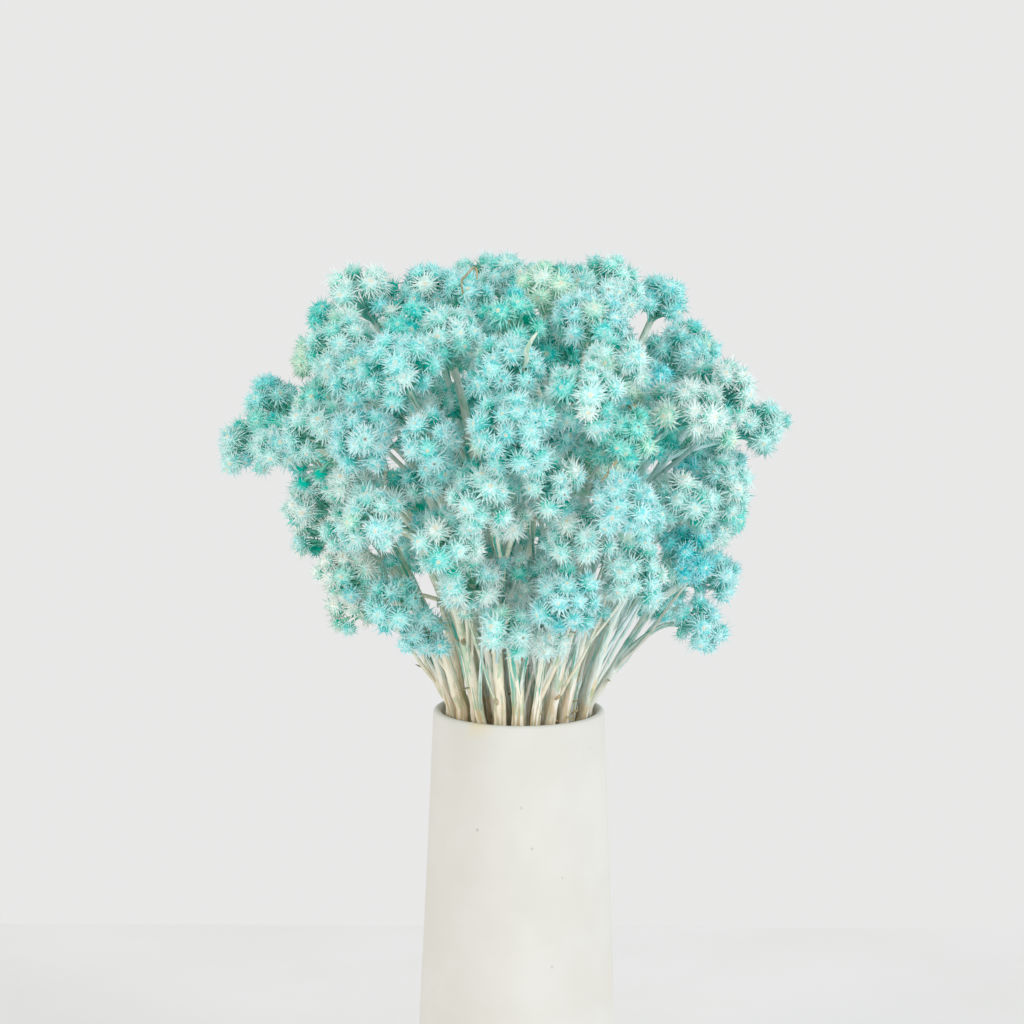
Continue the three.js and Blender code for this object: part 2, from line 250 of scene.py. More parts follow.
def addNoise(tree, place, scale, detail, roughness=0.5, distortion=0.0):
    # cloudy noise from 0 to 1 with so many patches to a metre
    return addNode(tree, "TexNoise", {
        "Vector": place, "Scale": scale, "Detail": detail, "Roughness": roughness, "Distortion": distortion,
    })["Fac"]


def mixColours(tree, factor, first, second, blend="MIX"):
    # each colour is a socket, amounts of light, or a screen colour as text
    first, second = (screenColour(one) if isinstance(one, str) else one for one in (first, second))
    return addNode(tree, "Mix", {0: factor, 6: first, 7: second}, data_type="RGBA", blend_type=blend)[2]


def rampMask(tree, value, low, high):
    # 0 at low and before it, and 1 at high and past it
    inputs = {"Value": value, "From Min": low, "From Max": high}
    return addNode(tree, "MapRange", inputs, interpolation_type="SMOOTHSTEP")["Result"]


def makeMottle():
    # soft patches and a fine grain: a mask for colour, and a height for the bump
    group = bpy.data.node_groups.new("mottle", "ShaderNodeTree")
    for name in ("Place", "Patch Scale", "Grain Scale", "Grain Share"):
        kind = "NodeSocketVector" if name == "Place" else "NodeSocketFloat"
        group.interface.new_socket(name, in_out="INPUT", socket_type=kind)
    for name in ("Patches", "Height"):
        group.interface.new_socket(name, in_out="OUTPUT", socket_type="NodeSocketFloat")
    source = group.nodes.new("NodeGroupInput").outputs
    result = group.nodes.new("NodeGroupOutput").inputs
    patches = addNoise(group, source["Place"], source["Patch Scale"], 3.0, 0.55)
    grain = addNoise(group, source["Place"], source["Grain Scale"], 2.0, 0.6)
    height = addNode(group, "Mix", {0: source["Grain Share"], 2: patches, 3: grain})[0]
    group.links.new(rampMask(group, patches, 0.36, 0.64), result["Patches"])
    group.links.new(height, result["Height"])
    return group


mottle = makeMottle()


def addMottle(tree, place, patchScale, grainScale, grainShare):
    # the mottle with a material's own values, as its mask and its height
    outputs = addNode(tree, "Group", {
        "Place": place, "Patch Scale": patchScale, "Grain Scale": grainScale, "Grain Share": grainShare,
    }, node_tree=mottle)
    return outputs["Patches"], outputs["Height"]


def finish(material, colour, height, strength, distance, roughness, specular=0.5, invert=False):
    # the shader that ends every material: a colour over a bumped surface
    tree = material.node_tree
    relief = {"Height": height, "Strength": strength, "Distance": distance}
    shader = addNode(tree, "BsdfPrincipled", {
        "Base Color": colour, "Roughness": roughness, "Specular IOR Level": specular,
        "Normal": addNode(tree, "Bump", relief, invert=invert)["Normal"],
    })
    addNode(tree, "OutputMaterial", {"Surface": shader["BSDF"]})
    return material


# Vase: one fired body with a plain wall that widens to its foot and a softly rounded lip.
# A wave is its count round the vase, the height that it needs for one radian, its share and its start.

vase = {
    "height": 240, "mouthRadius": 43, "footRadius": 52.5, "wall": 4, "floor": 8, "footEdge": 2,
    "sides": 128, "rows": 30, "lipRows": 12, "bendRows": 7, "flatRows": 12,
    "waver": 0.16, "waverAbove": (6, 30), "evenWithin": 30,
    "waves": ((2, 47, 1, 0), (3, -31, 0.6, 1.3), (7, 19, 0.4, 0.4)),
    "clay": "D4D1CA", "shadeClay": "CFCCC3", "speck": "AEA18C", "stain": "DCC584",
    "stainPlace": (-23, -40, 240), "stainReach": 13, "pitScale": 95.0, "sparseScale": 55.0, "pitShade": 0.55,
    "mottle": (22.0, 700.0, 0.3), "surface": (0.35, 0.0004, 0.82, 0.25),
}


def vaseOutline():
    # radius and height from the middle of the foot, up the outside, over the lip and down to the inner floor:
    # straight lines, with a quarter of a circle at the foot's edge and half a circle at the lip
    slope = (vase["footRadius"] - vase["mouthRadius"]) / vase["height"]
    lip = vase["wall"] / 2
    lipRadius, lipHeight = vase["mouthRadius"] - lip, vase["height"] - lip
    edge = vase["footEdge"]
    bend = np.linspace(0, math.pi / 2, vase["bendRows"])
    footRadii = vase["footRadius"] - slope * edge - edge * (1 - np.sin(bend))
    footBend = np.stack([footRadii, edge * (1 - np.cos(bend))], axis=1)
    up = np.linspace(0, 1, vase["rows"])[1:-1, None]
    outside = footBend[-1] * (1 - up) + np.array([vase["mouthRadius"], lipHeight]) * up
    around = np.linspace(0, math.pi, vase["lipRows"])
    lipBend = np.stack([lipRadius + lip * np.cos(around), lipHeight + lip * np.sin(around)], axis=1)
    innerFoot = np.array([vase["footRadius"] - slope * vase["floor"] - vase["wall"], vase["floor"]])
    inside = lipBend[-1] * (1 - up) + innerFoot * up
    floorIn = np.linspace(1, 0, vase["flatRows"])[:-1, None] * innerFoot[0] * np.array([1, 0])
    floorIn[:, 1] = vase["floor"]
    footIn = np.linspace(0, 1, vase["flatRows"])[1:-1, None] * footBend[0] * np.array([1, 0])
    return np.concatenate([footIn, footBend, outside, lipBend, inside, floorIn])


def vaseSurface():
    # the outline turned round the axis: radius times cosine, radius times sine, height; the wall's radius
    # wavers by a few low waves, as hand-finished clay does
    outline = vaseOutline()
    angle = fullTurn(vase["sides"])
    radius, height = outline[:, :1], outline[:, 1:]
    waves = sum(share * np.sin(n * angle + height / rise + start) for n, rise, share, start in vase["waves"])
    free = smoothStep(height, *vase["waverAbove"]) * (radius > vase["evenWithin"])
    radius = radius + vase["waver"] * waves * free
    points = np.stack([radius * np.cos(angle), radius * np.sin(angle), height + 0 * angle], axis=-1)
    poles = np.array([[0, 0, 0], [0, 0, vase["floor"]]])
    triangles = closedTriangles(len(outline), vase["sides"])[0]
    return np.concatenate([points.reshape(-1, 3), poles]), triangles


def bisqueClay():
    # matte unglazed clay: faint mottling, a few pits and specks, and one old yellow stain on the lip
    material, tree, place = newMaterial("bisqueClay")
    patches, height = addMottle(tree, place, *vase["mottle"])
    clay = mixColours(tree, patches, vase["clay"], vase["shadeClay"])
    cells = addNode(tree, "TexVoronoi", {"Vector": place, "Scale": vase["pitScale"]})["Distance"]
    sparse = addNoise(tree, place, vase["sparseScale"], 1.0)
    marks = multiply(tree, rampMask(tree, cells, 0.1, 0.055), rampMask(tree, sparse, 0.56, 0.62))
    clay = mixColours(tree, multiply(tree, marks, vase["pitShade"]), clay, vase["speck"])
    middle = [value * mm for value in vase["stainPlace"]]
    away = addNode(tree, "VectorMath", {0: place, 1: middle}, operation="DISTANCE")["Value"]
    near = rampMask(tree, away, vase["stainReach"] * mm, 0.0)
    clay = mixColours(tree, multiply(tree, near, rampMask(tree, sparse, 0.38, 0.66)), clay, vase["stain"])
    return finish(material, clay, calculate(tree, "SUBTRACT", height, marks), *vase["surface"])


settleIn(makePiece("vaseBody", [bisqueClay()], *vaseSurface()), "vase")
print("vase made")


# Layout: the sprays stand, fork and bend clear of each other by the same rule as their solids.

# The sprays that the photograph shows: for each tuft x, y, z, radius and the dye that it took up most.
shownSprays = {
    "crown": (
        ((-73, -20, 444, 13, "ivory"), (-97, 3, 431, 8, "teal"), (-98, 14, 412, 12, "lime")),
        ((-49, -24, 445, 13, "aqua"), (-27, -40, 441, 12, "aqua")),
        ((-5, -14, 450, 13, "mint"), (14, -22, 448, 12, "lime")),
        ((39, -20, 446, 15, "mint"), (31, -60, 431, 14, "sky")),
        ((67, 0, 441, 11, "aqua"), (77, 3, 413, 13, "aqua")),
        ((22, 22, 446, 13, "mint"), (-22, 24, 446, 13, "mint")),
    ),
    "shoulder": (
        ((-80, -46, 418, 13, "mint"), (-75, -74, 406, 12, "aqua"), (-93, -42, 400, 11, "sea")),
        ((-34, -80, 425, 14, "mint"), (-55, -52, 428, 12, "teal")),
        ((-53, -96, 412, 14, "aqua"), (-42, -76, 400, 9, "mint"), (-23, -44, 394, 11, "teal")),
        ((-7, -101, 414, 14, "aqua"), (-8, -64, 435, 12, "sea")),
        ((29, -104, 404, 13, "mint"), (42, -86, 416, 12, "mint"), (16, -50, 421, 11, "teal")),
        ((71, -76, 395, 14, "ivory"), (47, -78, 399, 10, "lime"), (61, -46, 405, 9, "blue")),
    ),
    "right": (
        ((97, -14, 399, 13, "ivory"), (113, 0, 381, 13, "mint"), (90, -46, 383, 10, "mint")),
        ((95, -30, 353, 13, "mint"), (98, 16, 362, 11, "sky"), (83, -4, 356, 10, "blue")),
        ((78, -42, 323, 13, "blue"), (74, -66, 350, 12, "mint"), (90, -16, 332, 10, "ivory")),
        ((93, -8, 305, 12, "sky"), (88, -12, 289, 11, "sky")),
    ),
    "left": (
        ((-124, 10, 389, 12, "aqua"), (-134, -4, 371, 12, "mint"), (-111, -43, 373, 12, "mint")),
        ((-92, -72, 385, 13, "mint"), (-64, -100, 376, 14, "sky")),
        ((-100, -35, 350, 12, "ivory"), (-98, -12, 329, 12, "cream"), (-81, -58, 338, 10, "mint")),
        ((-81, -24, 310, 13, "cream"), (-83, -24, 296, 11, "cream")),
    ),
    "front": (
        ((-59, -95, 353, 13, "mint"), (-76, -78, 359, 12, "ivory"), (-43, -100, 343, 13, "mint")),
        ((-43, -106, 386, 12, "sky"), (-40, -96, 365, 11, "aqua")),
        (
            (1, -110, 386, 15, "aqua"), (18, -92, 388, 11, "aqua"),
            (11, -112, 371, 12, "mint"), (-10, -92, 370, 12, "teal"),
        ),
        ((-16, -112, 360, 12, "mint"), (-2, -100, 350, 9, "ivory")),
        ((39, -100, 383, 13, "sea"), (32, -78, 367, 11, "lime")),
        ((44, -100, 360, 13, "sky"), (55, -76, 345, 10, "aqua"), (24, -98, 343, 14, "mint")),
    ),
    "hem": (
        ((-58, -44, 300, 12, "aqua"), (-48, -36, 285, 10, "sky")),
        ((-19, -72, 310, 12, "ivory"), (-7, -68, 299, 11, "mint"), (4, -58, 311, 10, "ivory")),
        ((19, -74, 312, 13, "sky"), (10, -52, 287, 10, "ivory")),
        ((50, -68, 318, 14, "mint"),),
    ),
    "heart": (
        ((-58, -62, 393, 11, "teal"), (-24, -42, 372, 11, "sea")),
        ((30, -52, 384, 12, "sea"), (62, -36, 378, 11, "teal")),
    ),
}

# A row at the back is its name, its sprays, the tufts of each, their height and their reach.
layout = {
    "backRows": (
        ("low", 2, 3, 304, 76), ("mid", 4, 3, 350, 100), ("high", 4, 3, 400, 92), ("top", 2, 3, 430, 46),
    ),
    "backFrom": 12, "backTo": 168, "backRadius": 13.4, "backDrop": 18, "backJitter": 5,
    "backDyes": ("mint", "aqua", "ivory", "sky", "mint", "teal", "sea", "lime"),
    "thickness": (2.4, 3.7), "tip": 1.7, "twig": 1.6, "lead": 0.45, "trail": 0.35,
    "mouthReach": 31, "mouthLevel": 214, "mouthSpread": 0.6,
    "footShare": 0.8, "footGap": 0.35, "footRows": 24,
    "leanFrom": 200, "fullLean": 40, "leanShare": 0.35, "leastReach": 0.1,
    "forkLowest": 0.5, "forkHighest": 0.78, "forkDrop": 26, "forkLead": 0.35,
    "tuftSize": 1.28, "heart": 300, "crown": 450, "hem": 290, "core": 0.45,
    "rounds": 300, "step": 7, "bark": 1, "gap": 0.7, "push": 0.5, "bend": 0.35, "stiff": 0.2,
    "pull": 0.03, "hold": 0.12, "tuftGive": 0.3, "refresh": 6, "margin": 9,
    "measureSteps": 200, "fewestSteps": 3,
}
thicknessDraw = 50
tuftDraw = 7


def backSprays():
    # the far side: rows of sprays on the same dome, each with its tufts side by side
    sprays = []
    span = layout["backTo"] - layout["backFrom"]
    for name, sprayCount, tuftCount, height, reach in layout["backRows"]:
        place = np.arange(sprayCount * tuftCount)
        azimuth = np.radians(layout["backFrom"] + span * (place + 0.5) / len(place))
        drop = layout["backDrop"] * (place % tuftCount % 2 - 0.5)
        level = height + drop + layout["backJitter"] * (draw(height, place) - 0.5)
        out = reach + layout["backJitter"] * (draw(place, height) - 0.5)
        dyes = np.floor(draw(height + 3, place) * len(layout["backDyes"])).astype(int)
        tufts = [
            (o * math.cos(a), o * math.sin(a), z, layout["backRadius"], layout["backDyes"][d])
            for o, a, z, d in zip(out, azimuth, level, dyes)
        ]
        for s in range(sprayCount):
            sprays.append((f"spray_back_{name}_{s + 1}", tufts[s * tuftCount:(s + 1) * tuftCount]))
    return sprays


def mouthPoint(tufts):
    # where a stem stands in the mouth: the lower and wider its tufts, the nearer the lip
    middle = np.mean([tuft[:3] for tuft in tufts], axis=0)
    flat = math.hypot(middle[0], middle[1])
    lean = math.atan2(flat, middle[2] - layout["leanFrom"]) / math.radians(layout["fullLean"])
    low = (layout["crown"] - middle[2]) / (layout["crown"] - layout["hem"])
    share = layout["leanShare"] * lean + (1 - layout["leanShare"]) * low
    reach = layout["mouthReach"] * min(1, max(layout["leastReach"], share))
    return np.array([middle[0] / flat * reach, middle[1] / flat * reach, layout["mouthLevel"]])


def stemCurve(start, way, tuft, lead, steps):
    # a cubic curve that leaves along way and enters its tuft from the canopy's heart, as points: four
    # corners, each weighed by powers of what is run and of what is left
    end = np.array(tuft[:3], float)
    span = np.linalg.norm(end - start)
    outwards = unit(end - layout["heart"] * upright)
    corners = [start, start + lead * span * way, end - layout["trail"] * span * outwards, end]
    t = np.linspace(0, 1, steps + 1)[:, None]
    weights = [(1 - t) ** 3, 3 * t * (1 - t) ** 2, 3 * t ** 2 * (1 - t), t ** 3]
    return sum(weight * corner for weight, corner in zip(weights, corners))


def planChains(sprays):
    # every stem and twig as a chain of points, each with the room that it needs, its kind and its spray
    homes, rooms, kinds, owners, chains = [], [], [], [], []

    def addPoints(places, room, kind, spray):
        homes.extend(places)
        rooms.extend(room)
        kinds.extend([kind] * len(places))
        owners.extend([spray] * len(places))
        return list(range(len(homes) - len(places), len(homes)))

    def addChain(first, way, tuft, lead, base, tip, spray):
        fine = stemCurve(homes[first], way, tuft, lead, layout["measureSteps"])
        steps = math.floor(length(np.diff(fine, axis=0)).sum() / layout["step"] + 0.5)
        steps = max(layout["fewestSteps"], steps)
        points = stemCurve(homes[first], way, tuft, lead, steps)
        thickness = base + (tip - base) * (np.arange(1, steps) / steps)
        ids = [first] + addPoints(points[1:-1], thickness + layout["bark"], "stem", spray)
        radius = layout["tuftSize"] * tuft[3]
        ids += addPoints(points[-1:], [radius], "tuft", spray)
        chains.append({"spray": spray, "ids": ids, "radius": radius, "dye": tuft[4]})
        return ids

    for spray, (_, tufts) in enumerate(sprays):
        base = between(layout["thickness"], spray, thicknessDraw)
        start = mouthPoint(tufts)
        rise = unit(np.array([start[0], start[1], layout["mouthReach"] / layout["mouthSpread"]]))
        mouth = addPoints([start], [base + layout["bark"]], "mouth", spray)[0]
        main = addChain(mouth, rise, tufts[0], layout["lead"], base, layout["tip"], spray)
        for k, tuft in enumerate(tufts[1:]):
            share = between((layout["forkLowest"], layout["forkHighest"]), spray, k + 1)
            fork = math.floor((len(main) - 1) * share + 0.5)
            while fork > 1 and homes[main[fork]][2] > tuft[2] - layout["forkDrop"]:
                fork -= 1
            way = unit(homes[main[fork]] - homes[main[fork - 1]])
            addChain(main[fork], way, tuft, layout["forkLead"], layout["twig"], layout["twig"], spray)
    return {
        "home": np.array(homes), "room": np.array(rooms, float), "kind": np.array(kinds),
        "owner": np.array(owners), "chains": chains,
    }


def nearPairs(plan, at):
    # the pairs of points of different sprays, or tufts of one, that could meet in the next few rounds
    tuft, owner, room = plan["kind"] == "tuft", plan["owner"], plan["room"]
    squares = (at ** 2).sum(axis=1)
    apart = squares[:, None] + squares - 2 * at @ at.T
    reach = room[:, None] + room + layout["gap"] + layout["margin"]
    joined = (owner[:, None] == owner) & ~(tuft[:, None] & tuft)
    return np.nonzero(np.triu((apart < reach ** 2) & ~joined, 1))


def settlePoints(plan):
    # crowded points push each other apart, chains keep their curve, and all are drawn back, less and less
    home, room, kind = plan["home"], plan["room"], plan["kind"]
    at = home.copy()
    tuft, mouth = kind == "tuft", kind == "mouth"
    give = np.where(tuft, layout["tuftGive"], 1.0)
    hold = np.where(tuft, layout["hold"], layout["pull"])
    back = np.stack([hold, np.full(len(at), layout["pull"]), hold], axis=1)
    chains = [chain["ids"] for chain in plan["chains"]]
    before, here, after = (np.concatenate([ids[k:len(ids) - 2 + k] for ids in chains]) for k in range(3))
    innerRadius = vase["mouthRadius"] - vase["wall"]
    for turn in range(layout["rounds"]):
        if turn % layout["refresh"] == 0:
            first, second = nearPairs(plan, at)
            reach = room[first] + room[second] + layout["gap"]
            giveFirst = give[first] / (give[first] + give[second])
        fading = 1 - turn / layout["rounds"]
        bend = layout["bend"] * (layout["stiff"] + (1 - layout["stiff"]) * fading)
        apart = at[first] - at[second]
        distance = length(apart)[:, 0]
        pushes = layout["push"] * np.maximum(reach - distance, 0) / distance
        moves = np.empty_like(at)
        for axis in range(3):
            amount = apart[:, axis] * pushes
            moves[:, axis] = np.bincount(first, amount * giveFirst, len(at))
            moves[:, axis] += np.bincount(second, amount * (giveFirst - 1), len(at))
        middle = (at[before] + at[after] - home[before] - home[after]) / 2
        moves[here] += bend * (middle - at[here] + home[here])
        at = at + moves + fading * back * (home - at)
        at[mouth, 2] = layout["mouthLevel"]
        flat = np.hypot(at[:, 0], at[:, 1])
        free = innerRadius - room - layout["gap"] + np.maximum(0, at[:, 2] - vase["height"] - room)
        outside = (flat > free) & (at[:, 2] < vase["height"] + vase["mouthRadius"])
        at[outside, :2] *= (free / flat)[outside, None]
    return at


sprays = [
    (f"spray_{group}_{k + 1}", tufts) for group, rows in shownSprays.items() for k, tufts in enumerate(rows)
] + backSprays()
plan = planChains(sprays)
settled = settlePoints(plan)
print("layout settled:", len(settled), "points")


# Stems: felted, grooved and knotted, each with its twigs and the thin stalks of its heads.

stems = {
    "sides": 12, "twigSides": 6, "rowStep": 3.0, "tip": 1.6, "twig": 1.25, "hiddenStep": 12, "shownFrom": 226,
    "curveSteps": 6, "leastStep": 0.2,
    "grooves": 5, "grooveDepth": 0.07, "groovePitch": 41, "lumps": 0.085, "lumpPitches": (3.1, 7.3, 1.9),
    "fineLumps": 0.7, "lumpDraws": 5, "flare": 0.35, "flareReach": 9,
    "knots": 7, "knotFrom": 0.25, "knotSpan": 0.7, "knotHeight": 0.75, "knotReach": 2.6, "knotWidth": 0.5,
    "knotShares": (0.4, 1), "fullKnotRadius": 3,
    "stalkSides": 4, "stalkRows": 5, "stalk": 0.6, "stalkSpread": 0.25, "cup": 1.4, "cupFrom": 0.72,
    "stalkRoot": 0.55, "stalkBack": 0.55, "stalkSink": 0.2, "stalkRow": 4, "stalkDyeAndShade": 0.8,
    "stalkLowest": 2, "stalkBend": 0.5,
    "barks": ("F9F0D8", "F7F3E2", "EFEDE0", "F8F8F2", "E6F4EE", "DDF2F6"),
    "barkLean": 0.25, "leanReach": 75, "teal": "49B5A6", "sand": "E0C99C", "brown": "BC9E6E",
    # the second colour on the next line darkens the fibre grooves: painted shade
    "dyed": "EAFAF7", "grooveShade": "EFE9D6", "stain": "C6E4D8",
    "dyeFrom": 0.25, "dyeTo": 0.34, "oldFrom": 0.238, "oldTo": 0.278, "oldWander": 0.012,
    "streaksPerMetre": 30.0, "shiftSpan": 40, "streakScale": 1.6, "fibreScale": 5.5,
    "uptakeTurns": 7.3, "uptakeShare": 0.16, "stainDrawn": (1.0, 1.0, 0.3), "stainScale": 210.0,
    "mottle": (75.0, 1300.0, 0.7), "surface": (0.7, 0.0005, 0.9, 0.1),
    "shoots": 2, "shootFrom": (3, 40), "shootLength": (55, 90), "shootSwing": (0.5, 1), "shootSpread": 0.38,
    "shootBend": (0.4, 1.2, 0.3), "shootOut": 0.16, "shootWave": 0.9, "shootWaves": (5, 4, 6), "ahead": 4,
    "shootRadius": (1.0, 0.6), "shootSides": 6, "shootStep": 4, "shootHead": 0.82, "shootHeadSpread": 0.1,
    "shootHeadLift": 0.15, "shootFacing": (0.3, 0.6),
}
knotDraw = 90


def smoothLine(corners, rowStep):
    # a smooth curve through corners, each stretch a cubic that leaves a corner along the line between its two
    # neighbours, then cut into even steps that are long where the vase hides them
    ends = np.concatenate([2 * corners[:1] - corners[1:2], corners, 2 * corners[-1:] - corners[-2:-1]])
    f = np.linspace(0, 1, stems["curveSteps"], endpoint=False)[:, None]
    a, b, c, d = (ends[k:len(ends) - 3 + k, None] for k in range(4))
    square, cube = 2 * a - 5 * b + 4 * c - d, 3 * b - a - 3 * c + d
    fine = 0.5 * (2 * b + (c - a) * f + square * f ** 2 + cube * f ** 3)
    fine = np.concatenate([fine.reshape(-1, 3), corners[-1:]])
    along = distances(fine)
    shown = np.interp(stems["shownFrom"], fine[:, 2], along) if fine[0, 2] < stems["shownFrom"] else 0
    hidden = np.arange(0, shown, stems["hiddenStep"])
    places = np.concatenate([hidden, np.arange(shown, along[-1], rowStep), along[-1:]])
    places = places[np.concatenate([[True], np.diff(places) > stems["leastStep"]])]
    return pointsAt(places, along, fine), places


def ringWays(line):
    # two directions across a line at each of its points, from one fixed side that it never runs along
    way = unit(np.gradient(line, axis=0))
    chord = unit(line[-1] - line[0])
    side = np.cross(chord, [0.3, 0.2, 1] if abs(chord[2]) < 0.95 else [0.6, 1, 0])
    side = unit(side - way * (way @ side)[:, None])
    return side, np.cross(way, side)


def barkTube(line, places, radii, sides, tag):
    # a closed tube: its radius swells by a cosine round it (the grooves) and by sines along it (felted
    # lumps), and bell-shaped mounds rise from it (the knots, where leaves stood)
    turn = fullTurn(sides)
    s = places[:, None]
    phase = 2 * math.pi * draw(tag, np.arange(stems["lumpDraws"]))
    long, wide, fine = stems["lumpPitches"]
    swell = stems["grooveDepth"] * np.cos(stems["grooves"] * turn + s / stems["groovePitch"] + phase[0])
    lump = np.sin(s / long + phase[1] + np.sin(turn + phase[2])) + np.sin(s / wide + 2 * turn + phase[3])
    lump = lump + stems["fineLumps"] * np.sin(s / fine + 3 * turn + phase[4])
    swell = 1 + swell + stems["lumps"] / 2 * lump
    knot = np.arange(stems["knots"])
    knotAt = places[-1] * (stems["knotFrom"] + stems["knotSpan"] * draw(tag + knotDraw, knot))
    knotTurn = 2 * math.pi * draw(tag, knot + knotDraw)
    across = np.abs((turn[:, None] - knotTurn + math.pi) % (2 * math.pi) - math.pi)
    mound = (across / stems["knotWidth"]) ** 2 + ((s[..., None] - knotAt) / stems["knotReach"]) ** 2
    height = stems["knotHeight"] * between(stems["knotShares"], tag + 1, knot)
    height = height * np.minimum(1, radii.mean() / stems["fullKnotRadius"])
    reach = radii[:, None] * swell + (height * np.exp(-mound)).sum(axis=2)
    rings = line[:, None] + reach[..., None] * turnedWays(*ringWays(line), turn)
    return closeTubes(rings[None], places)


def chainLine(chain, first):
    # the chain's own points outside its tuft's core, with the foot before a main stem's
    points = settled[chain["ids"]]
    centre = points[-1]
    core = layout["core"] * chain["radius"]
    clear = length(points - centre)[:, 0] > core + layout["tip"]
    clear[0] = True
    line = points[clear]
    axis = unit(centre - line[-1])
    line = np.concatenate([line, [centre - core * axis]])
    if first:
        foot = line[0] * layout["footShare"]
        foot[2] = vase["floor"] + layout["footGap"]
        rise = np.linspace(0, 1, layout["footRows"], endpoint=False)[:, None]
        line = np.concatenate([foot * (1 - rise) + line[0] * rise, line])
    return line, centre, axis


def lowShoots(line, places, tag):
    # thin side shoots that leave a main stem near the mouth, swing aside and then rise beside it: an arc with
    # a slow wave across it that fades out to both ends
    shoots = []
    mouthAt = np.interp(vase["height"], line[:, 2], places)
    low, high = stems["shootFrom"]
    for k in range(stems["shoots"]):
        at = mouthAt + low + (high - low) * draw(tag + 30, k)
        start = pointsAt(at, places, line)
        way = unit(pointsAt(at + stems["ahead"], places, line) - start)
        out = unit(start * [1, 1, 0] + 1e-6)
        side = np.cross(way, out) * (1 if draw(tag + 31, k) < 0.5 else -1)
        span = between(stems["shootLength"], tag + 32, k)
        swing = stems["shootSpread"] * between(stems["shootSwing"], tag + 33, k)
        share, aside, away = stems["shootBend"]
        corner = start + share * span * unit(way + aside * swing * side + away * out)
        end = start + span * unit(way + swing * side + stems["shootOut"] * out)
        t = np.linspace(0, 1, int(span / stems["shootStep"]))[:, None]
        fewest, more, shift = stems["shootWaves"]
        wave = np.sin(t * (fewest + more * draw(tag + 34, k)) + shift * draw(tag + 35, k))
        wave = stems["shootWave"] * wave * np.sin(math.pi * t)
        shoots.append((arc(start, corner, end, t) + wave * np.cross(way, side), out))
    return shoots


# Heads: a small disc in the middle of many narrow pointed rays, crowded on every tuft.

heads = {
    "size": 6.8, "sizeSpread": 0.18, "sink": 4.2, "full": 15.4, "fullReach": 12, "fewest": 5,
    "cap": 102, "rise": 0.35, "lift": 0.19, "wander": 0.36,
    "sideHeads": 2, "sideBack": (0.3, 0.8), "sideOut": (0.65, 0.95), "sideDrop": 0.35, "sideSize": 0.9,
    "sideTurn": 100, "sideFacing": (0.45, 0.25, 0.5),
    "rays": 82, "rayEdges": (19, 122), "rayRoot": 0.52, "rayWidth": 0.43, "rayDepth": 0.34,
    "rayLean": 0.28, "shortest": 0.76, "grown": (15, 60), "lengthSpread": 0.3,
    "rootAlong": 0.35, "underside": (84, 118), "underShade": 0.92,
    "coreSides": 5, "coreRings": ((0.42, -0.28), (0.62, 0.05), (0.5, 0.38), (0.2, 0.5)),
    "coreEnds": (-0.44, 0.55), "coreAlong": (0.0, 0.1, 0.25, 0.45, 0, 0.5),
    "dyes": {
        "cream": "F8F9F2", "ivory": "E8F5F0", "mint": "D6F4F1", "aqua": "C0F1F1", "sky": "C8F2F5",
        "blue": "90E6EE", "teal": "80E8E0", "sea": "A4EFE3", "lime": "DAF1DA",
    },
    "strayShare": 0.16, "strayBlend": 0.7, "dyeSpread": 0.06, "loneSize": 0.9, "loneSpread": 0.2,
    # the second and the last colour on the next line are painted shade for the ray roots, the head cores and
    # the underside rays, with some of the dye's own pooling
    "tip": "E0E7EA", "root": "44E6DC", "blotch": "4CDAE2", "deepShade": "08D8C0",
    "uptake": 1.2, "leastUptake": 0.32,
    "discs": ("F3EDCF", "EEE2BC", "E2F2E0", "CFF0E8", "BDEBE6"), "discLean": 1.3,
    "darkDisc": "1C4A45", "darkShare": 0.07,
    # the first value on the next line darkens the gaps between the disc florets: painted shade
    "between": (0.85, 0.78, 0.62, 1.0), "floretScale": 2200.0, "blotScale": 300.0,
    "mottle": (260.0, 1100.0, 0.75), "surface": (0.3, 0.0002, 0.9, 0.03), "discSurface": (0.7, 0.0004, 0.75),
}

# Single heads that stand between the tufts: the chain that they grow from, x, y, z and dye.
stragglers = {
    "spray_crown_2": ((0, -62, -16, 449, "teal"), (0, -60, -22, 441, "teal"), (0, -58, -28, 433, "sea")),
    "spray_left_1": (
        (0, -126, -14, 381, "sea"), (0, -137, -4, 380, "sea"), (0, -106, -22, 391, "teal"),
        (2, -99, -22, 392, "teal"), (1, -126, -18, 363, "mint"), (2, -118, -22, 385, "teal"),
        (0, -128, -12, 385, "sea"), (1, -134, -14, 366, "mint"),
    ),
    "spray_left_2": (
        (0, -105, -44, 366, "aqua"), (0, -94, -52, 363, "mint"), (0, -84, -62, 366, "aqua"),
        (0, -90, -50, 357, "mint"), (0, -103, -44, 358, "aqua"),
    ),
}


def headPlaces(centre, axis, radius, tag):
    # where a tuft's heads sit, which way they face and how large they are: they follow a golden spiral
    # from the middle of a cap to its edge, so the cosine falls evenly, and each wanders a little
    reach = radius - heads["sink"]
    count = max(heads["fewest"], round(heads["full"] * (reach / heads["fullReach"]) ** 2))
    middle = unit(axis + heads["rise"] * upright)
    number = np.arange(count)
    polar = np.arccos(1 - (number + 0.5) / count * (1 - math.cos(math.radians(heads["cap"]))))
    side = unit(np.cross(middle, [0.31, 0.87, 0.38]))
    rim = turnedWays(side, np.cross(middle, side), 2 * math.pi * draw(tag, 1) + number * goldenAngle)
    shift = np.stack([spread(tag + k, number) for k in (0.3, 0.5, 0.7)], axis=1)
    facing = unit(np.sin(polar)[:, None] * rim + np.cos(polar)[:, None] * middle + heads["wander"] * shift)
    out = reach * (1 + heads["lift"] * spread(tag, number + 0.4))
    size = heads["size"] * (1 + heads["sizeSpread"] * spread(tag + 2, number))
    return centre + out[:, None] * facing, facing, size


